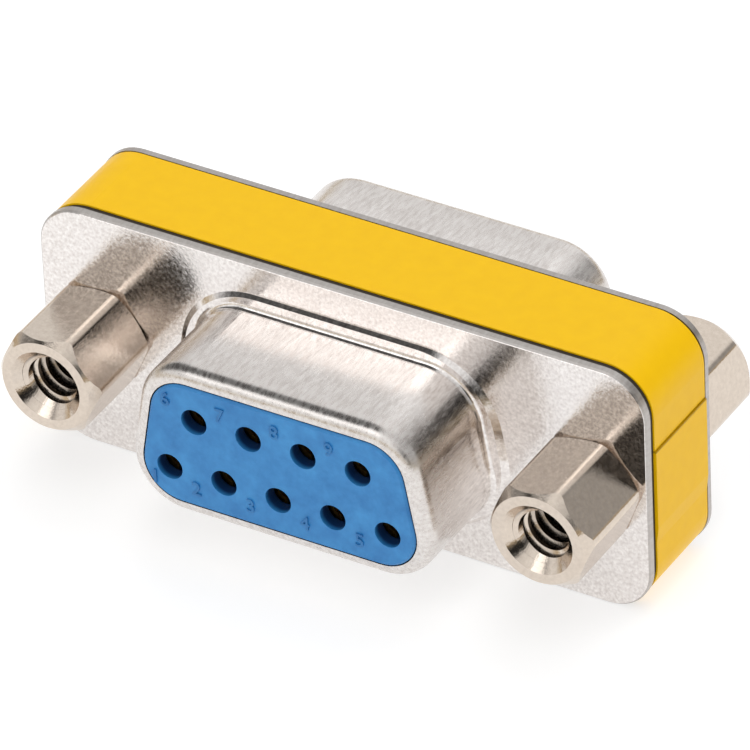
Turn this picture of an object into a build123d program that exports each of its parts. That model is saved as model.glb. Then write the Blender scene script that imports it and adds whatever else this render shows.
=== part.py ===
from build123d import *
import math
import os

# A double-ended nine-way D connector adaptor, socket to socket, in millimetres.
# X runs along the flanges, Y from the front socket face to the rear one, Z is up.
# The origin is the middle of the spacer between the two flanges. The rear half is
# the front half turned half a turn about X, so its wide side is uppermost and each
# contact keeps its own X from one face to the other.

# Contact layout
contact_pitch = 2.77
row_spacing = 2.84
wide_row_count = 5
narrow_row_count = 4

# Drawn D-shaped shroud, wide side down on the front
shroud_end_margin = 2.625
shroud_side_margin = 2.53
shroud_corner = 2.6
side_slant = 10.0
shroud_reach = 5.55
lip_round = 0.7

# Sheet steel flange with a low step pressed out of it round the shroud
sheet = 0.4
flange_corner = 2.2
flange_edge_chamfer = 0.1
flange_gap = 4.9
step_height = 0.22
step_margin = 0.62
step_corner_extra = 0.6
step_toe = 0.1
step_side_spread = 0.2
root_round = 0.25

# Moulded insulators
face_proud = 0.1
lip_gap = 0.06
nose_chamfer = 0.1
base_end_margin = 1.335
base_side_margin = 1.05
base_corner = 0.6
seat_clearance = 0.05
pin_hole_radius = 0.65
pin_hole_length = 0.7
chamber_gap = 0.1
crank_room_wall = 0.25
crank_room_margin = 0.26
crank_room_corner = 0.8

# Double-ended socket contacts, each rolled from one strip
socket_bore = 0.52
socket_wall = 0.28
socket_bore_depth = 4.2
socket_set_back = 0.2
tine_slit_width = 0.2
tine_slit_length = 3.2
shoulder_overlap = 0.25
shoulder_height = 1.3
shoulder_thickness = 0.4
strip_width = 1.0
strip_thickness = 0.3
strip_bend = 0.45
strip_lead = 0.5

# Spacer frame and the film wrapped round it
frame_end_wall = 0.58
frame_side_wall = 1.07
pocket_web = 0.645
pocket_clearance = 0.1
film_thickness = 0.08
film_front_gap = 0.3
film_rear_gap = 0.06
seam_height = 2.2
lap_length = 4.1
lap_ramp = 0.8

# Screwlocks, 4-40 UNC, and the threaded spacers that they screw into
thread_major_radius = 1.42
thread_clearance = 0.03
flange_hole_clearance = 0.13
threaded_spacer_wall = 0.75
threaded_spacer_chamfer = 0.2
spacer_hole_clearance = 0.05
stud_tip_gap = 0.5
stud_end_chamfer = 0.25
hex_across_flats = 4.7
hex_length = 4.67
hex_ridge_round = 0.5
hex_end_inset = 0.1
outer_chamfer_angle = 52.0
flange_chamfer_angle = 30.0
bore_floor = 0.57
bore_mouth_chamfer = 0.35
front_left_hex_turn = 5.0
front_right_hex_turn = 9.0
rear_left_hex_turn = 24.0
rear_right_hex_turn = 15.0

# Widths and heights, worked out from the contacts outwards
wide_row_length = (wide_row_count - 1) * contact_pitch
shroud_width = wide_row_length + 2 * shroud_end_margin
shroud_height = row_spacing + 2 * shroud_side_margin
base_width = shroud_width + 2 * base_end_margin
base_height = shroud_height + 2 * base_side_margin
threaded_spacer_radius = thread_major_radius + thread_clearance + threaded_spacer_wall
spacer_hole_radius = threaded_spacer_radius + spacer_hole_clearance
screw_spacing = base_width + 2 * (pocket_clearance + pocket_web + spacer_hole_radius)
flange_width = screw_spacing + 2 * (spacer_hole_radius + frame_end_wall + film_thickness)
flange_height = base_height + 2 * (pocket_clearance + frame_side_wall + film_thickness)
socket_radius = socket_bore + socket_wall
chamber_half_width = socket_radius + chamber_gap
shoulder_half_width = chamber_half_width + shoulder_overlap

# Depths in front of the middle plane
flange_back = flange_gap / 2
flange_front = flange_back + sheet
step_front = flange_front + step_height
shroud_front = flange_front + shroud_reach
insulator_face = shroud_front + face_proud
chamber_front = insulator_face - pin_hole_length
socket_front = chamber_front - socket_set_back
crank_room_depth = flange_back - crank_room_wall
shoulder_back = crank_room_depth - shoulder_thickness
hex_front = flange_front + hex_length


def section(depth):
    """The plane of a cross-section at a depth in front of the middle plane."""
    return Plane.XZ.offset(depth)


def d_outline(inset=0.0, extra_corner=0.0, side_spread=0.0):
    """The shroud's outline, moved inwards, with its slanted sides spread if asked."""
    slant = math.radians(side_slant)
    half_height = shroud_height / 2 - inset
    side_inset = inset / math.cos(slant) + inset * math.tan(slant)
    half_bottom = shroud_width / 2 - side_inset + side_spread
    half_top = half_bottom - 2 * half_height * math.tan(slant)
    corners = [
        (-half_bottom, -half_height),
        (half_bottom, -half_height),
        (half_top, half_height),
        (-half_top, half_height),
    ]
    outline = Polygon(*corners, align=None)
    return fillet(outline.vertices(), radius=shroud_corner - inset + extra_corner)


def slab(outline, back, front):
    """A flat outline given thickness between two depths."""
    return extrude(section(back) * outline, amount=front - back)


def along_depth(radius, back, front):
    """A round bar that runs from one depth to another on the Y axis."""
    return slab(Circle(radius), back, front)


def turned(profile_points):
    """A profile of (radius, depth) points turned about the Y axis."""
    points = [(radius, -depth) for radius, depth in profile_points]
    return revolve(Polygon(*points, align=None), axis=Axis.Y)


def to_rear(front_piece):
    """The same piece on the rear half."""
    return Rot(X=180) * front_piece


def pressed_step(back, inset=0.0):
    """The low step round the shroud, its foot spread a little more towards the ears."""
    foot = d_outline(inset - step_margin - step_toe, step_corner_extra, step_side_spread)
    top = d_outline(inset - step_margin, step_corner_extra)
    return loft([section(back) * foot, section(back + step_height) * top])


def shell():
    """One drawn and pressed steel shell: flange, step, shroud and rolled-in lip."""
    flange_outline = RectangleRounded(flange_width, flange_height, flange_corner)
    flange = slab(flange_outline, flange_back, flange_front)
    front_rim = flange.faces().sort_by(Axis.Y)[0].edges()
    flange = chamfer(front_rim, flange_edge_chamfer)

    body = flange + pressed_step(flange_front) + slab(d_outline(), flange_back, shroud_front)
    walls = [face for face in body.faces() if face.bounding_box().size.Y > shroud_reach / 2]
    root = [
        edge
        for wall in walls
        for edge in wall.edges()
        if abs(edge.center().Y + step_front) < step_height / 4
    ]
    body = fillet(root, root_round)
    body = fillet(body.faces().sort_by(Axis.Y)[0].edges(), lip_round)

    hollow = slab(d_outline(sheet), 0, shroud_front - sheet)
    hollow = chamfer(hollow.faces().sort_by(Axis.Y)[0].edges(), lip_round - sheet)
    mouth = slab(d_outline(lip_round), 0, insulator_face)
    body = body - hollow - mouth - pressed_step(flange_back)
    screw_hole = along_depth(thread_major_radius + flange_hole_clearance, 0, step_front)
    for side in (-1, 1):
        body -= Pos(side * screw_spacing / 2, 0, 0) * screw_hole
    return body


def row_places(count, height):
    """Centres of one row of contacts, left to right seen from the front."""
    first = -(count - 1) / 2 * contact_pitch
    return [(first + index * contact_pitch, height) for index in range(count)]


def front_places():
    """Contacts in number order: the wide row below, then the narrow row above."""
    wide_row = row_places(wide_row_count, -row_spacing / 2)
    narrow_row = row_places(narrow_row_count, row_spacing / 2)
    return wide_row + narrow_row


def pin_way():
    """The space for one contact: a round pin hole at the face, a square chamber behind."""
    pin_hole = along_depth(pin_hole_radius, chamber_front, insulator_face)
    chamber_outline = Rectangle(2 * chamber_half_width, 2 * chamber_half_width)
    return pin_hole + slab(chamber_outline, crank_room_depth, chamber_front)


def insulator():
    """One moulded insulator: D-shaped nose, seat in the pressed step, block behind."""
    nose = slab(d_outline(lip_round + lip_gap), 0, insulator_face)
    nose = chamfer(nose.faces().sort_by(Axis.Y)[0].edges(), nose_chamfer)
    base = slab(RectangleRounded(base_width, base_height, base_corner), 0, flange_back)
    seat = pressed_step(flange_back, seat_clearance)
    block_outline = Rectangle(base_width, base_height)
    seat = seat & slab(block_outline, 0, step_front - sheet - seat_clearance)
    room_border = 2 * (shoulder_half_width + crank_room_margin)
    room_width = wide_row_length + room_border
    room_height = row_spacing + room_border
    room_outline = RectangleRounded(room_width, room_height, crank_room_corner)
    crank_room = slab(room_outline, 0, crank_room_depth)
    body = base + seat + nose - crank_room
    for across, up in front_places():
        body -= Pos(across, 0, up) * pin_way()
    return body


def socket_end():
    """One end of a contact: a slit tube whose square shoulder stops it in its chamber."""
    tube = along_depth(socket_radius, shoulder_back, socket_front)
    tube -= along_depth(socket_bore, socket_front - socket_bore_depth, socket_front)
    slit_outline = Rectangle(tine_slit_width, 3 * socket_radius)
    tube -= slab(slit_outline, socket_front - tine_slit_length, socket_front)
    shoulder_outline = Rectangle(2 * shoulder_half_width, shoulder_height)
    return tube + slab(shoulder_outline, shoulder_back, crank_room_depth)


def cranked_strip():
    """The flat strip that joins both ends and steps from the lower row to the upper one."""
    bend_start = shoulder_back - strip_lead
    half_rows = row_spacing / 2
    route = FilletPolyline(
        (-shoulder_back, -half_rows),
        (-bend_start, -half_rows),
        (bend_start, half_rows),
        (shoulder_back, half_rows),
        radius=strip_bend,
    )
    side_view = Plane.YZ * trace(route, line_width=strip_thickness)
    return extrude(side_view, amount=strip_width / 2, both=True)


def contact(rises):
    """A double-ended socket contact, lower at the front if it rises to the rear."""
    front_end = Pos(0, 0, -row_spacing / 2) * socket_end()
    rising = front_end + cranked_strip() + to_rear(front_end)
    return rising if rises else mirror(rising, about=Plane.XY)


def spacer_frame():
    """The moulded frame between the flanges, with a pocket and two round holes."""
    width = flange_width - 2 * film_thickness
    height = flange_height - 2 * film_thickness
    frame = slab(RectangleRounded(width, height, flange_corner), -flange_back, flange_back)
    pocket_outline = RectangleRounded(
        base_width + 2 * pocket_clearance,
        base_height + 2 * pocket_clearance,
        base_corner + pocket_clearance,
    )
    frame -= slab(pocket_outline, -flange_back, flange_back)
    hole = along_depth(spacer_hole_radius, -flange_back, flange_back)
    for side in (-1, 1):
        frame -= Pos(side * screw_spacing / 2, 0, 0) * hole
    return frame


def wrap_film():
    """The film round the spacer frame, lapped over its own end on the right side."""
    outer = RectangleRounded(flange_width, flange_height, flange_corner + film_thickness)
    inner = RectangleRounded(
        flange_width - 2 * film_thickness,
        flange_height - 2 * film_thickness,
        flange_corner,
    )
    side = flange_width / 2
    lap = Polygon(
        (side - film_thickness / 2, seam_height),
        (side - film_thickness / 2, seam_height - lap_length - lap_ramp),
        (side, seam_height - lap_length - lap_ramp),
        (side + film_thickness, seam_height - lap_length),
        (side + film_thickness, seam_height),
        align=None,
    )
    return slab(outer - inner + lap, film_rear_gap - flange_back, flange_back - film_front_gap)


def threaded_spacer():
    """The turned sleeve between the flanges that both studs of a side screw into."""
    bore = thread_major_radius + thread_clearance
    chamfered = threaded_spacer_radius - threaded_spacer_chamfer
    chamfer_start = flange_back - threaded_spacer_chamfer
    return turned([
        (bore, -flange_back),
        (chamfered, -flange_back),
        (threaded_spacer_radius, -chamfer_start),
        (threaded_spacer_radius, chamfer_start),
        (chamfered, flange_back),
        (bore, flange_back),
    ])


def screwlock(hex_turn):
    """A hexagon screwlock: tapped at its outer end, with a stud at the flange end."""
    corner_radius = hex_across_flats / math.sqrt(3)
    end_radius = hex_across_flats / 2 - hex_end_inset
    outer_rise = (corner_radius - end_radius) * math.tan(math.radians(outer_chamfer_angle))
    flange_rise = (corner_radius - end_radius) * math.tan(math.radians(flange_chamfer_angle))
    bore_back = flange_front + bore_floor
    stud_end = stud_tip_gap / 2

    hexagon_outline = RegularPolygon(corner_radius, 6)
    hexagon_outline = fillet(hexagon_outline.vertices(), hex_ridge_round)
    hexagon = slab(Rot(Z=hex_turn) * hexagon_outline, flange_front, hex_front)
    chamfer_limit = turned([
        (0, flange_front),
        (end_radius, flange_front),
        (corner_radius, flange_front + flange_rise),
        (corner_radius, hex_front - outer_rise),
        (end_radius, hex_front),
        (0, hex_front),
    ])
    stud = turned([
        (0, stud_end),
        (thread_major_radius - stud_end_chamfer, stud_end),
        (thread_major_radius, stud_end + stud_end_chamfer),
        (thread_major_radius, flange_front),
        (0, flange_front),
    ])
    bore = turned([
        (0, bore_back),
        (thread_major_radius, bore_back),
        (thread_major_radius, hex_front - bore_mouth_chamfer),
        (thread_major_radius + bore_mouth_chamfer, hex_front),
        (0, hex_front),
    ])
    return (hexagon & chamfer_limit) + stud - bore


def save(piece, node):
    """Write one piece under its own name."""
    piece.label = node
    export_step(piece, f"parts/{node}.step")


def main():
    os.makedirs("parts", exist_ok=True)

    front_shell = shell()
    front_insulator = insulator()
    save(front_shell, "front_shell")
    save(to_rear(front_shell), "rear_shell")
    save(front_insulator, "front_insulator")
    save(to_rear(front_insulator), "rear_insulator")
    save(spacer_frame(), "spacer_frame")
    save(wrap_film(), "wrap_film")

    for number, (across, up) in enumerate(front_places(), start=1):
        save(Pos(across, 0, 0) * contact(rises=up < 0), f"contact_{number}")

    half_spacing = screw_spacing / 2
    for side, across in (("left", -half_spacing), ("right", half_spacing)):
        save(Pos(across, 0, 0) * threaded_spacer(), f"{side}_threaded_spacer")

    save(Pos(-half_spacing, 0, 0) * screwlock(front_left_hex_turn), "front_left_screwlock")
    save(Pos(half_spacing, 0, 0) * screwlock(front_right_hex_turn), "front_right_screwlock")
    save(Pos(-half_spacing, 0, 0) * to_rear(screwlock(rear_left_hex_turn)), "rear_left_screwlock")
    save(Pos(half_spacing, 0, 0) * to_rear(screwlock(rear_right_hex_turn)), "rear_right_screwlock")


main()
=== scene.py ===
import math
import bmesh
import bpy
from mathutils import Matrix, Vector


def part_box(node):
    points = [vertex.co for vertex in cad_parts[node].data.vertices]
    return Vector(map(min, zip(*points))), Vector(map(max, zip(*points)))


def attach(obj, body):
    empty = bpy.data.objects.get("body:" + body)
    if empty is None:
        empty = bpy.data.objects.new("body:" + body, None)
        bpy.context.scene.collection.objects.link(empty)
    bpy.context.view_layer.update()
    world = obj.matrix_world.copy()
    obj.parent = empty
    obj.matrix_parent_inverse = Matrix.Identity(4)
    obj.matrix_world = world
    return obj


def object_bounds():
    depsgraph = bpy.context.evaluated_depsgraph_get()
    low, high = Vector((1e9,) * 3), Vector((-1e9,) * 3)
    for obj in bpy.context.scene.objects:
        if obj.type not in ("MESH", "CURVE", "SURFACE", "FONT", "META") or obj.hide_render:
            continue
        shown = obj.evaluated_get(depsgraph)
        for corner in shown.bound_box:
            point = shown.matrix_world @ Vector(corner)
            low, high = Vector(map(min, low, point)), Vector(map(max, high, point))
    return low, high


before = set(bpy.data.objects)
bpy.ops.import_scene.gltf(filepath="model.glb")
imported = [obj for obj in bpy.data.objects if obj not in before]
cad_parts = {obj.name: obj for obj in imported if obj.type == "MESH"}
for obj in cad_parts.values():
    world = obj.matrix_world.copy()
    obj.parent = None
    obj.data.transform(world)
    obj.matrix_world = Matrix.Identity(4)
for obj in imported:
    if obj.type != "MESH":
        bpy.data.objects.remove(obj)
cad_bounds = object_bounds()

# Front and rear shells
# Each is one piece of 0.4 mm steel strip, drawn into the D-shaped shroud, pressed
# into a low step round it and tin plated. The flange mirrors its surroundings in
# speckled patches, the drawn walls are streaked, duller and painted darker as shade,
# and the sheared rim is grey.
MM = 0.001
FLANGE_FACE = 2.85 * MM
DRAWN_FROM = FLANGE_FACE + 0.6 * MM
DRAWN_TO = FLANGE_FACE + 4.5 * MM
RIM_FROM = FLANGE_FACE - 0.01 * MM
RIM_TO = FLANGE_FACE - 0.03 * MM


def linear(hex_colour):
    """An sRGB hex colour as the linear RGBA that the shaders take."""
    channels = [int(hex_colour[i:i + 2], 16) / 255 for i in (1, 3, 5)]
    values = [c / 12.92 if c <= 0.04045 else ((c + 0.055) / 1.055) ** 2.4 for c in channels]
    return (*values, 1.0)


def add_node(tree, kind, settings=None, links=None):
    """Adds a shader node, sets its properties and sockets, and links its inputs.

    A link comes from a socket or from a node, whose first output in use it then takes.
    """
    node = tree.nodes.new("ShaderNode" + kind)
    for name, value in (settings or {}).items():
        if isinstance(name, int) or name in node.inputs:
            node.inputs[name].default_value = value
        else:
            setattr(node, name, value)
    for name, source in (links or {}).items():
        if isinstance(source, bpy.types.Node):
            source = next(output for output in source.outputs if output.enabled)
        tree.links.new(source, node.inputs[name])
    return node


def new_material(name):
    """An empty node material and its node tree."""
    material = bpy.data.materials.new(name)
    material.use_nodes = True
    material.node_tree.nodes.clear()
    return material, material.node_tree


def dress(node_names, material):
    """Gives CAD nodes a material."""
    for name in node_names:
        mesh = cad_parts[name].data
        mesh.materials.clear()
        mesh.materials.append(material)


def tinned_steel():
    """Bright tin plate on drawn steel: speckled flange, streaked walls with painted shade, grey
    sheared rim.
    """
    # The tin's own grain is finer than the speckle, which is as coarse as it needs to show.
    speckle_size = 0.17 * MM
    drawing_waves = 1.6 * MM
    speckle_relief = 0.012 * MM
    wave_relief = 0.05 * MM
    material, tree = new_material("tin plated drawn steel")
    place = add_node(tree, "TexCoord").outputs["Object"]
    parts = add_node(tree, "SeparateXYZ", None, {"Vector": place}).outputs
    from_middle = add_node(tree, "Math", {"operation": "ABSOLUTE"}, {0: parts["Y"]})
    drawn = add_node(tree, "MapRange", {"From Min": DRAWN_FROM, "From Max": DRAWN_TO},
                     {"Value": from_middle})
    rim = add_node(tree, "MapRange", {"From Min": RIM_FROM, "From Max": RIM_TO},
                   {"Value": from_middle})
    streaked = add_node(tree, "VectorMath", {"operation": "MULTIPLY", 1: (1.0, 0.25, 1.0)},
                        {0: place})
    speckle = add_node(tree, "TexNoise",
                       {"Scale": 1 / speckle_size, "Detail": 4.0, "Roughness": 0.6},
                       {"Vector": streaked}).outputs["Fac"]
    waves = add_node(tree, "TexNoise",
                     {"Scale": 1 / drawing_waves, "Detail": 2.0, "Roughness": 0.5},
                     {"Vector": place}).outputs["Fac"]
    mottle = add_node(tree, "MapRange", {"From Min": 0.32, "From Max": 0.68}, {"Value": speckle})
    gloss = add_node(tree, "MapRange", {"To Min": 0.1, "To Max": 0.22}, {"Value": mottle})
    gloss = add_node(tree, "Math", {"operation": "MULTIPLY_ADD", 1: 0.13}, {0: drawn, 2: gloss})
    gloss = add_node(tree, "Math", {"operation": "MULTIPLY_ADD", 1: 0.2}, {0: rim, 2: gloss})
    # Painted shade: the drawn walls take a darker grey.
    painted_wall_shade = add_node(tree, "MapRange", {"To Max": 0.2}, {"Value": drawn})
    rim_greyness = add_node(tree, "Math", {"operation": "MULTIPLY", 1: 0.5}, {0: rim})
    tone = add_node(tree, "Mix",
                    {"data_type": "RGBA", "A": linear("#D8D1CD"), "B": linear("#F7F3F0")},
                    {"Factor": mottle})
    tone = add_node(tree, "Mix", {"data_type": "RGBA", "B": linear("#95908A")},
                    {"Factor": painted_wall_shade, "A": tone})
    tone = add_node(tree, "Mix", {"data_type": "RGBA", "B": linear("#6A6560")},
                    {"Factor": rim_greyness, "A": tone})
    slow = add_node(tree, "Bump", {"Strength": 0.35, "Distance": wave_relief}, {"Height": waves})
    fine = add_node(tree, "Bump", {"Strength": 0.5, "Distance": speckle_relief},
                    {"Height": speckle, "Normal": slow})
    shader = add_node(tree, "BsdfPrincipled", {"Metallic": 1.0},
                      {"Base Color": tone, "Roughness": gloss, "Normal": fine})
    add_node(tree, "OutputMaterial", None, {"Surface": shader})
    return material


dress(["front_shell", "rear_shell"], tinned_steel())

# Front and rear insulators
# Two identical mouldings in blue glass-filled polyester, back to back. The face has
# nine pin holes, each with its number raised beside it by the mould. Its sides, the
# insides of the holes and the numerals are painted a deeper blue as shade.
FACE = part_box("front_insulator")[0].y
FACE_DEPTH = -FACE
SIDES_FROM = FACE_DEPTH - 0.04 * MM
SIDES_TO = FACE_DEPTH - 0.3 * MM
PROUD_FROM = FACE_DEPTH + 0.01 * MM
PROUD_TO = FACE_DEPTH + 0.03 * MM
PITCH = 2.77 * MM
ROW_RISE = 1.42 * MM
NUMERAL_HEIGHT = 0.72 * MM
TYPE_SIZE = 1.38 * NUMERAL_HEIGHT
NUMERAL_RELIEF = 0.08 * MM
NUMERAL_ROUND = 0.012 * MM
NUMERAL_LEFT = 1.43 * MM
NUMERAL_OUT = 0.8 * MM
CORNER_LEFT = 0.77 * MM


def blue_polyester():
    """Moulded polyester: satin, with the faint swirl of its glass filler, and painted shade in
    the holes, on the sides and on the numerals.
    """
    # The moulded skin is finer than the pores, which are as coarse as they need to show.
    swirl_size = 0.9 * MM
    pore_size = 0.14 * MM
    pore_relief = 0.02 * MM
    material, tree = new_material("blue moulded polyester")
    place = add_node(tree, "TexCoord").outputs["Object"]
    swirl = add_node(tree, "TexNoise",
                     {"Scale": 1 / swirl_size, "Detail": 5.0, "Roughness": 0.62},
                     {"Vector": place}).outputs["Fac"]
    pores = add_node(tree, "TexNoise",
                     {"Scale": 1 / pore_size, "Detail": 3.0, "Roughness": 0.55},
                     {"Vector": place}).outputs["Fac"]
    parts = add_node(tree, "SeparateXYZ", None, {"Vector": place}).outputs
    depth = add_node(tree, "Math", {"operation": "ABSOLUTE"}, {0: parts["Y"]})
    filler = add_node(tree, "MapRange", {"From Min": 0.3, "From Max": 0.7}, {"Value": swirl})
    # Painted shade: the sides and the insides of the pin holes take a deeper blue.
    painted_recess_shade = add_node(tree, "MapRange", {"From Min": SIDES_FROM, "From Max": SIDES_TO},
                     {"Value": depth})
    # Painted shade: the raised numerals take a darker blue.
    painted_numeral_shade = add_node(tree, "MapRange",
                     {"From Min": PROUD_FROM, "From Max": PROUD_TO, "To Max": 0.35},
                     {"Value": depth})
    tone = add_node(tree, "Mix",
                    {"data_type": "RGBA", "A": linear("#2576B8"), "B": linear("#3A8FCF")},
                    {"Factor": filler})
    tone = add_node(tree, "Mix", {"data_type": "RGBA", "B": linear("#0F3664")},
                    {"Factor": painted_recess_shade, "A": tone})
    tone = add_node(tree, "Mix", {"data_type": "RGBA", "B": linear("#17508A")},
                    {"Factor": painted_numeral_shade, "A": tone})
    relief = add_node(tree, "Bump", {"Strength": 0.35, "Distance": pore_relief},
                      {"Height": pores})
    shader = add_node(tree, "BsdfPrincipled",
                      {"Roughness": 0.42, "IOR": 1.57, "Specular IOR Level": 0.35},
                      {"Base Color": tone, "Normal": relief})
    add_node(tree, "OutputMaterial", None, {"Surface": shader})
    return material


def as_mesh(text_object, name):
    """The same shape as a mesh in the shared frame, in place of the text."""
    graph = bpy.context.evaluated_depsgraph_get()
    mesh = bpy.data.meshes.new_from_object(text_object.evaluated_get(graph))
    mesh.name = name
    mesh.transform(text_object.matrix_world)
    piece = bpy.data.objects.new(name, mesh)
    bpy.context.scene.collection.objects.link(piece)
    bpy.data.objects.remove(text_object)
    return piece


def raised_numeral(name, digit, across, up):
    """One moulded numeral standing on the front face."""
    text = bpy.data.curves.new(name + "_text", "FONT")
    text.body = digit
    text.size = TYPE_SIZE
    text.align_x = "CENTER"
    text.align_y = "CENTER"
    text.extrude = NUMERAL_RELIEF / 2
    text.bevel_depth = NUMERAL_ROUND
    text.bevel_resolution = 1
    text.resolution_u = 3
    text_object = bpy.data.objects.new(name + "_text", text)
    bpy.context.scene.collection.objects.link(text_object)
    text_object.matrix_world = (
        Matrix.Translation((across, FACE - NUMERAL_RELIEF / 4, up))
        @ Matrix.Rotation(math.radians(90), 4, "X")
    )
    bpy.context.view_layer.update()
    return as_mesh(text_object, name)


blue = blue_polyester()
dress(["front_insulator", "rear_insulator"], blue)
numerals = [("1", -2 * PITCH - CORNER_LEFT, -ROW_RISE - CORNER_LEFT)]
for place_in_row in range(1, 5):
    across = (place_in_row - 2) * PITCH - NUMERAL_LEFT
    numerals.append((str(place_in_row + 1), across, -ROW_RISE - NUMERAL_OUT))
for place_in_row in range(4):
    across = (place_in_row - 1.5) * PITCH - NUMERAL_LEFT
    numerals.append((str(place_in_row + 6), across, ROW_RISE + NUMERAL_OUT))
half_turn = Matrix.Rotation(math.pi, 4, "X")
for face_name, turn in (("front", Matrix.Identity(4)), ("rear", half_turn)):
    for digit, across, up in numerals:
        piece = raised_numeral(f"{face_name}_numeral_{digit}", digit, across, up)
        piece.data.transform(turn)
        piece.data.materials.append(blue)
        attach(piece, "root")

# Contacts
# Nine double-ended sockets stamped and rolled from phosphor bronze strip with a
# flash of gold. They show only as a dull glint deep in the pin holes.


def gold_flash():
    """Thin gold on bronze: warm, a little dull, with fine rolling lines."""
    # Real rolling lines are finer. These are as coarse as they need to show.
    line_size = 0.12 * MM
    line_relief = 0.01 * MM
    material, tree = new_material("gold flashed bronze")
    place = add_node(tree, "TexCoord").outputs["Object"]
    lines = add_node(tree, "TexNoise",
                     {"Scale": 1 / line_size, "Detail": 3.0, "Roughness": 0.5},
                     {"Vector": place}).outputs["Fac"]
    gloss = add_node(tree, "MapRange", {"To Min": 0.25, "To Max": 0.42}, {"Value": lines})
    tone = add_node(tree, "Mix",
                    {"data_type": "RGBA", "A": linear("#B98F45"), "B": linear("#D9B465")},
                    {"Factor": lines})
    relief = add_node(tree, "Bump", {"Strength": 0.3, "Distance": line_relief},
                      {"Height": lines})
    shader = add_node(tree, "BsdfPrincipled", {"Metallic": 1.0},
                      {"Base Color": tone, "Roughness": gloss, "Normal": relief})
    add_node(tree, "OutputMaterial", None, {"Surface": shader})
    return material


dress([f"contact_{number}" for number in range(1, 10)], gold_flash())

# Spacer frame
# The black ABS moulding that keeps the flanges apart. It shows only as a dark
# line on both sides of the yellow film.


def black_abs():
    """Moulded ABS with a fine spark-eroded grain."""
    # The mould's grain is finer in reality, and as coarse here as it needs to show.
    grain_size = 0.1 * MM
    grain_relief = 0.015 * MM
    material, tree = new_material("black moulded ABS")
    place = add_node(tree, "TexCoord").outputs["Object"]
    grain = add_node(tree, "TexNoise",
                     {"Scale": 1 / grain_size, "Detail": 3.0, "Roughness": 0.6},
                     {"Vector": place}).outputs["Fac"]
    tone = add_node(tree, "Mix",
                    {"data_type": "RGBA", "A": linear("#1A1512"), "B": linear("#2B231C")},
                    {"Factor": grain})
    relief = add_node(tree, "Bump", {"Strength": 0.4, "Distance": grain_relief},
                      {"Height": grain})
    shader = add_node(tree, "BsdfPrincipled", {"Roughness": 0.55, "IOR": 1.54},
                      {"Base Color": tone, "Normal": relief})
    add_node(tree, "OutputMaterial", None, {"Surface": shader})
    return material


dress(["spacer_frame"], black_abs())

# Wrap film
# A strip of yellow vinyl film stuck round the frame, with its end lapped over its
# start on the right end. It is smooth, with the faint orange peel of its adhesive,
# and a thin line of painted shade runs along the cut edge of the lap.
SEAM_HEIGHT = 2.2 * MM
END_FACE = 15.0 * MM
SEAM_SHADE_EDGE = 0.09 * MM
SEAM_SHADE_CORE = 0.03 * MM


def yellow_vinyl():
    """Semi-gloss calendered vinyl: even colour, slight orange peel, painted shade at the seam.
    """
    peel_size = 0.7 * MM
    tooth_size = 0.11 * MM
    peel_relief = 0.03 * MM
    tooth_relief = 0.006 * MM
    material, tree = new_material("yellow vinyl film")
    place = add_node(tree, "TexCoord").outputs["Object"]
    peel = add_node(tree, "TexNoise",
                    {"Scale": 1 / peel_size, "Detail": 3.0, "Roughness": 0.5},
                    {"Vector": place}).outputs["Fac"]
    tooth = add_node(tree, "TexNoise",
                     {"Scale": 1 / tooth_size, "Detail": 2.0, "Roughness": 0.5},
                     {"Vector": place}).outputs["Fac"]
    parts = add_node(tree, "SeparateXYZ", None, {"Vector": place}).outputs
    above_seam = add_node(tree, "Math", {"operation": "SUBTRACT", 1: SEAM_HEIGHT},
                          {0: parts["Z"]})
    from_seam = add_node(tree, "Math", {"operation": "ABSOLUTE"}, {0: above_seam})
    # Painted shade: a dark line along the cut edge of the lap on the right end.
    line = add_node(tree, "MapRange",
                    {"From Min": SEAM_SHADE_EDGE, "From Max": SEAM_SHADE_CORE, "To Max": 0.6},
                    {"Value": from_seam})
    at_right_end = add_node(tree, "Math", {"operation": "GREATER_THAN", 1: END_FACE},
                            {0: parts["X"]})
    painted_seam_shade = add_node(tree, "Math", {"operation": "MULTIPLY"}, {0: line, 1: at_right_end})
    tone = add_node(tree, "Mix",
                    {"data_type": "RGBA", "A": linear("#F6C000"), "B": linear("#FECB02")},
                    {"Factor": peel})
    tone = add_node(tree, "Mix", {"data_type": "RGBA", "B": linear("#5A3C08")},
                    {"Factor": painted_seam_shade, "A": tone})
    slow = add_node(tree, "Bump", {"Strength": 0.25, "Distance": peel_relief},
                    {"Height": peel})
    fine = add_node(tree, "Bump", {"Strength": 0.2, "Distance": tooth_relief},
                    {"Height": tooth, "Normal": slow})
    shader = add_node(tree, "BsdfPrincipled",
                      {"Roughness": 0.36, "IOR": 1.53, "Specular IOR Level": 0.14},
                      {"Base Color": tone, "Normal": fine})
    add_node(tree, "OutputMaterial", None, {"Surface": shader})
    return material


dress(["wrap_film"], yellow_vinyl())

# Threaded spacers
# Two turned brass sleeves between the flanges, hidden, with plain turned ends.


def turned_brass():
    """Free-cutting brass as it comes off the lathe."""
    feed = 0.08 * MM
    feed_relief = 0.008 * MM
    material, tree = new_material("turned brass")
    place = add_node(tree, "TexCoord").outputs["Object"]
    marks = add_node(tree, "TexWave",
                     {"bands_direction": "Y", "Scale": 1 / feed, "Distortion": 0.6},
                     {"Vector": place}).outputs["Fac"]
    gloss = add_node(tree, "MapRange", {"To Min": 0.2, "To Max": 0.34}, {"Value": marks})
    relief = add_node(tree, "Bump", {"Strength": 0.2, "Distance": feed_relief},
                      {"Height": marks})
    shader = add_node(tree, "BsdfPrincipled",
                      {"Metallic": 1.0, "Base Color": linear("#D2B062")},
                      {"Roughness": gloss, "Normal": relief})
    add_node(tree, "OutputMaterial", None, {"Surface": shader})
    return material


dress(["left_threaded_spacer", "right_threaded_spacer"], turned_brass())
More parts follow.
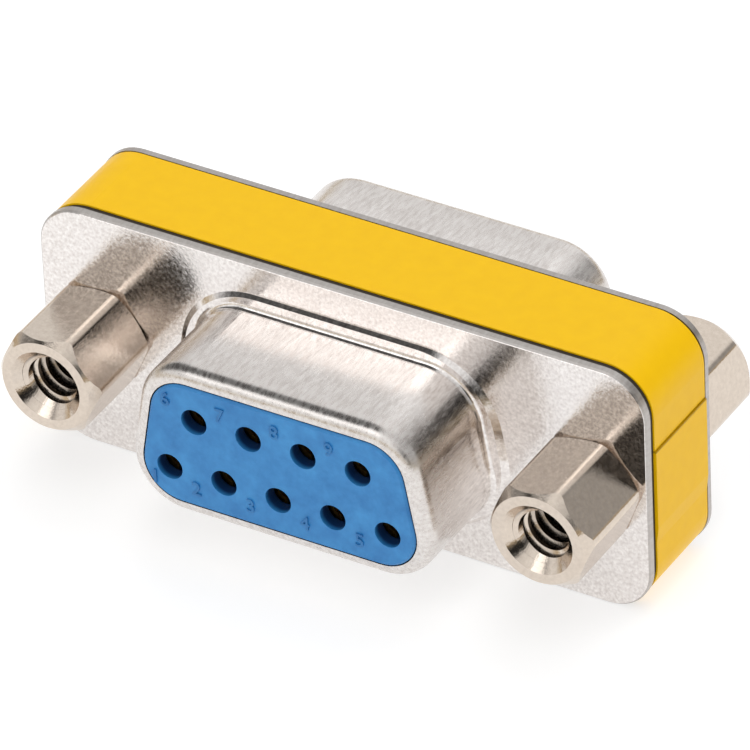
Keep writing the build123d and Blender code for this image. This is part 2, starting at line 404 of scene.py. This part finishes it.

# Screwlocks
# Four hexagon bar pieces, turned, tapped 4-40, countersunk and nickel plated. The flats
# keep the mottled skin of drawn bar and the end faces show turning rings. The bores are
# painted dark as shade off the thread crests and deep down, so only the crests shine.
HALF_SPACING = 12.495 * MM
HEX_END = -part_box("front_left_screwlock")[0].y
MOUTH_RADIUS = 1.77 * MM
FIRST_TURN_DEPTH = 0.33 * MM
THREAD_PITCH = 0.635 * MM
THREAD_ROOT = 1.43 * MM
THREAD_CREST = 1.12 * MM
RIDGE_FOOT = 0.44 * THREAD_PITCH
RIDGE_TOP = 0.16 * THREAD_PITCH
THREAD_TURNS = 5.6
STEPS_PER_TURN = 72
RUN_IN_STEPS = 0.1 * STEPS_PER_TURN
RUN_OUT_STEPS = 0.4 * STEPS_PER_TURN
MOUTH_CUT = 0.005 * MM


def nickel_plate():
    """Nickel on drawn steel bar: warm grey, mottled, faint turning rings, painted shade in the
    bores.
    """
    # The skin of the bar is finer than the mottle, which is as coarse as it needs to show.
    mottle_size = 0.22 * MM
    feed = 0.07 * MM
    mottle_relief = 0.02 * MM
    ring_relief = 0.005 * MM
    material, tree = new_material("nickel plated steel bar")
    place = add_node(tree, "TexCoord").outputs["Object"]
    skin = add_node(tree, "TexNoise",
                    {"Scale": 1 / mottle_size, "Detail": 4.0, "Roughness": 0.6},
                    {"Vector": place}).outputs["Fac"]
    rings = add_node(tree, "TexWave",
                     {"bands_direction": "Y", "Scale": 1 / feed, "Distortion": 1.2,
                      "Detail": 2.0},
                     {"Vector": place}).outputs["Fac"]

    # Painted shade, with a rougher finish: in the bore, off the crests or deep down, but not
    # on the countersink.
    parts = add_node(tree, "SeparateXYZ", None, {"Vector": place}).outputs
    from_middle = add_node(tree, "Math", {"operation": "ABSOLUTE"}, {0: parts["X"]})
    off_axis = add_node(tree, "Math", {"operation": "SUBTRACT", 1: HALF_SPACING},
                        {0: from_middle})
    spoke = add_node(tree, "CombineXYZ", None, {"X": off_axis, "Z": parts["Z"]})
    radius = add_node(tree, "VectorMath", {"operation": "LENGTH"}, {0: spoke})
    depth = add_node(tree, "Math", {"operation": "ABSOLUTE"}, {0: parts["Y"]})
    below_mouth = add_node(tree, "Math", {"operation": "SUBTRACT", 0: HEX_END}, {1: depth})
    cone = add_node(tree, "Math", {"operation": "ADD"}, {0: radius, 1: below_mouth})
    in_bore = add_node(tree, "MapRange",
                       {"From Min": THREAD_ROOT + 0.05 * MM, "From Max": THREAD_ROOT},
                       {"Value": radius})
    off_crest = add_node(tree, "MapRange",
                         {"From Min": THREAD_CREST + 0.12 * MM,
                          "From Max": THREAD_CREST + 0.18 * MM},
                         {"Value": radius})
    deep = add_node(tree, "MapRange",
                    {"From Min": HEX_END - 1.2 * MM, "From Max": HEX_END - 3.0 * MM},
                    {"Value": depth})
    off_cone = add_node(tree, "MapRange",
                        {"From Min": MOUTH_RADIUS + 0.04 * MM,
                         "From Max": MOUTH_RADIUS + 0.1 * MM},
                        {"Value": cone})
    off_crest_or_deep = add_node(tree, "Math", {"operation": "MAXIMUM"}, {0: off_crest, 1: deep})
    bore_shade = add_node(tree, "Math", {"operation": "MULTIPLY"}, {0: in_bore, 1: off_cone})
    bore_shade = add_node(tree, "Math", {"operation": "MULTIPLY"}, {0: bore_shade, 1: off_crest_or_deep})

    gloss = add_node(tree, "MapRange",
                     {"From Min": 0.3, "From Max": 0.7, "To Min": 0.06, "To Max": 0.17},
                     {"Value": skin})
    gloss = add_node(tree, "Math", {"operation": "MULTIPLY_ADD", 1: 0.15},
                     {0: bore_shade, 2: gloss})
    # Painted shade: the bore off the crests and deep down takes a dark brown.
    painted_bore_shade = add_node(tree, "Math", {"operation": "MULTIPLY", 1: 0.75}, {0: bore_shade})
    tone = add_node(tree, "Mix",
                    {"data_type": "RGBA", "A": linear("#C6B8AA"), "B": linear("#E3D7CA")},
                    {"Factor": skin})
    tone = add_node(tree, "Mix", {"data_type": "RGBA", "B": linear("#352C26")},
                    {"Factor": painted_bore_shade, "A": tone})
    slow = add_node(tree, "Bump", {"Strength": 0.35, "Distance": mottle_relief},
                    {"Height": skin})
    fine = add_node(tree, "Bump", {"Strength": 0.1, "Distance": ring_relief},
                    {"Height": rings, "Normal": slow})
    shader = add_node(tree, "BsdfPrincipled", {"Metallic": 1.0},
                      {"Base Color": tone, "Roughness": gloss, "Normal": fine})
    add_node(tree, "OutputMaterial", None, {"Surface": shader})
    return material


def thread_turns(name, mouth, outward):
    """The ridge of the right-hand thread in one bore, cut back by the countersink."""
    across = Vector((1, 0, 0))
    upward = outward.cross(across)
    profile = [
        (THREAD_ROOT, RIDGE_FOOT),
        (THREAD_CREST, RIDGE_TOP),
        (THREAD_CREST, -RIDGE_TOP),
        (THREAD_ROOT, -RIDGE_FOOT),
    ]
    steps = int(THREAD_TURNS * STEPS_PER_TURN)
    shape = bmesh.new()
    rows = []
    for step in range(steps + 1):
        angle = 2 * math.pi * step / STEPS_PER_TURN
        spoke = across * math.cos(-angle) + upward * math.sin(-angle)
        middle = -FIRST_TURN_DEPTH - THREAD_PITCH * step / STEPS_PER_TURN
        fullness = min(1.0, step / RUN_IN_STEPS, (steps - step) / RUN_OUT_STEPS)
        row = []
        for radius, offset in profile:
            height = middle + offset
            reach = THREAD_ROOT + (radius - THREAD_ROOT) * fullness
            reach = max(reach, MOUTH_RADIUS + MOUTH_CUT + height)
            row.append(shape.verts.new(mouth + spoke * reach + outward * height))
        rows.append(row)
    for row, next_row in zip(rows, rows[1:]):
        for i in range(4):
            j = (i + 1) % 4
            shape.faces.new((row[i], row[j], next_row[j], next_row[i]))
    shape.faces.new(rows[0])
    shape.faces.new(reversed(rows[-1]))
    bmesh.ops.recalc_face_normals(shape, faces=shape.faces)
    mesh = bpy.data.meshes.new(name)
    shape.to_mesh(mesh)
    shape.free()
    piece = bpy.data.objects.new(name, mesh)
    bpy.context.scene.collection.objects.link(piece)
    return piece


nickel = nickel_plate()
for side, along in (("front", -1), ("rear", 1)):
    for hand, across in (("left", -HALF_SPACING), ("right", HALF_SPACING)):
        dress([f"{side}_{hand}_screwlock"], nickel)
        outward = Vector((0, along, 0))
        mouth = Vector((across, 0, 0)) + outward * HEX_END
        piece = thread_turns(f"{side}_{hand}_thread", mouth, outward)
        piece.data.materials.append(nickel)
        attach(piece, "root")

# Floor and studio
# A plain white floor that glows a little under the part, one round lamp above and to
# the left, and a pale room. Its light is strongest overhead, where mirrors don't show
# it, and its few darker parts are what the metal mirrors.
FLOOR_HALF = 0.6
FLOOR_LEVEL = cad_bounds[0][2]
LAMP_PLACE = (-0.139, -0.277, 0.284)
LAMP_WIDTH = 0.21
LAMP_POWER = 0.12


def pale_floor():
    """Matt white acrylic with a light under it, so that the shadow stays faint."""
    material, tree = new_material("pale floor")
    shader = add_node(tree, "BsdfPrincipled",
                      {"Base Color": linear("#B4B4B4"), "Roughness": 0.9,
                       "Specular IOR Level": 0.1,
                       "Emission Color": linear("#FFFFFF"), "Emission Strength": 0.65})
    add_node(tree, "OutputMaterial", None, {"Surface": shader})
    return material


floor_corners = [
    (-FLOOR_HALF, -FLOOR_HALF, FLOOR_LEVEL),
    (FLOOR_HALF, -FLOOR_HALF, FLOOR_LEVEL),
    (FLOOR_HALF, FLOOR_HALF, FLOOR_LEVEL),
    (-FLOOR_HALF, FLOOR_HALF, FLOOR_LEVEL),
]
floor_mesh = bpy.data.meshes.new("floor")
floor_mesh.from_pydata(floor_corners, [], [(0, 1, 2, 3)])
floor = bpy.data.objects.new("floor", floor_mesh)
floor_mesh.materials.append(pale_floor())
bpy.context.scene.collection.objects.link(floor)


def room():
    """The room as the metal mirrors it: pale, with a few dark parts and a greyer horizon."""
    world = bpy.data.worlds.new("studio room")
    bpy.context.scene.world = world
    world.use_nodes = True
    tree = world.node_tree
    tree.nodes.clear()
    toward = add_node(tree, "TexCoord").outputs["Generated"]
    height = add_node(tree, "SeparateXYZ", None, {"Vector": toward}).outputs["Z"]
    rays = add_node(tree, "LightPath").outputs
    walls = add_node(tree, "MapRange", {"From Max": 0.3, "To Min": 0.5}, {"Value": height})
    ceiling = add_node(tree, "MapRange", {"From Min": 0.74, "From Max": 0.95, "To Max": 2.4},
                       {"Value": height})
    not_mirrored = add_node(tree, "Math", {"operation": "SUBTRACT", 0: 1.0},
                            {1: rays["Is Glossy Ray"]})
    overhead = add_node(tree, "Math", {"operation": "MULTIPLY"}, {0: ceiling, 1: not_mirrored})
    brightness = add_node(tree, "Math", {"operation": "ADD"}, {0: walls, 1: overhead})

    # Each dark part: its direction, the cosines where it begins and is full, its strength.
    dark_parts = (
        ((0.95, 0.10, 0.30), 0.300, 0.950, 0.45),
        ((-0.52, -0.69, 0.50), 0.983, 0.998, 0.26),
        ((0.58, 0.69, 0.42), 0.930, 0.985, 0.38),
        ((0.65, -0.69, 0.30), 0.945, 0.982, 0.02),
        ((-0.46, -0.15, 0.87), 0.840, 0.930, 0.06),
        ((-0.80, 0.15, 0.58), 0.860, 0.940, 0.10),
        ((-0.43, 0.69, 0.58), 0.950, 0.985, 0.88),
    )
    for direction, begins, full, strength in dark_parts:
        facing = add_node(tree, "VectorMath", {"operation": "DOT_PRODUCT", 1: direction},
                          {0: toward})
        within = add_node(tree, "MapRange", {"From Min": begins, "From Max": full},
                          {"Value": facing})
        brightness = add_node(tree, "Mix", {"data_type": "FLOAT", "B": strength},
                              {"Factor": within, "A": brightness})

    seen = add_node(tree, "Mix", {"data_type": "FLOAT", "B": 1.0},
                    {"Factor": rays["Is Camera Ray"], "A": brightness})
    low = add_node(tree, "MapRange", {"From Max": 0.25, "To Min": 1.0, "To Max": 0.0},
                   {"Value": height})
    tint = add_node(tree, "Mix",
                    {"data_type": "RGBA", "A": linear("#FFFFFF"), "B": linear("#FFE3B0")},
                    {"Factor": low})
    backdrop = add_node(tree, "Background", None, {"Color": tint, "Strength": seen})
    add_node(tree, "OutputWorld", None, {"Surface": backdrop})


room()
lamp = bpy.data.lights.new("main lamp", "AREA")
lamp.shape = "DISK"
lamp.size = LAMP_WIDTH
lamp.energy = LAMP_POWER
lamp_object = bpy.data.objects.new("main lamp", lamp)
lamp_object.location = LAMP_PLACE
lamp_object.rotation_euler = (-Vector(LAMP_PLACE)).to_track_quat("-Z", "Y").to_euler()
bpy.context.scene.collection.objects.link(lamp_object)

# Camera
# A long lens from the right and above, tilted a little, as in the photograph.
AZIMUTH = math.radians(31.753)
ELEVATION = math.radians(35.602)
TILT = math.radians(-2.702)
DISTANCE = 442.69 * MM
AIM = Vector((0.038, -0.027, -0.060)) * MM
LENS = 480.0
SENSOR = 36.0
FAR_END = 10.0

camera = bpy.data.cameras.new("camera")
camera.lens = LENS
camera.sensor_width = SENSOR
camera.clip_end = FAR_END
backward = Vector((
    math.sin(AZIMUTH) * math.cos(ELEVATION),
    -math.cos(AZIMUTH) * math.cos(ELEVATION),
    math.sin(ELEVATION),
))
camera_object = bpy.data.objects.new("camera", camera)
camera_object.matrix_world = (
    Matrix.Translation(AIM + backward * DISTANCE)
    @ (-backward).to_track_quat("-Z", "Y").to_matrix().to_4x4()
    @ Matrix.Rotation(TILT, 4, "Z")
)
bpy.context.scene.collection.objects.link(camera_object)
bpy.context.scene.camera = camera_object
bpy.context.scene.view_settings.view_transform = "Standard"
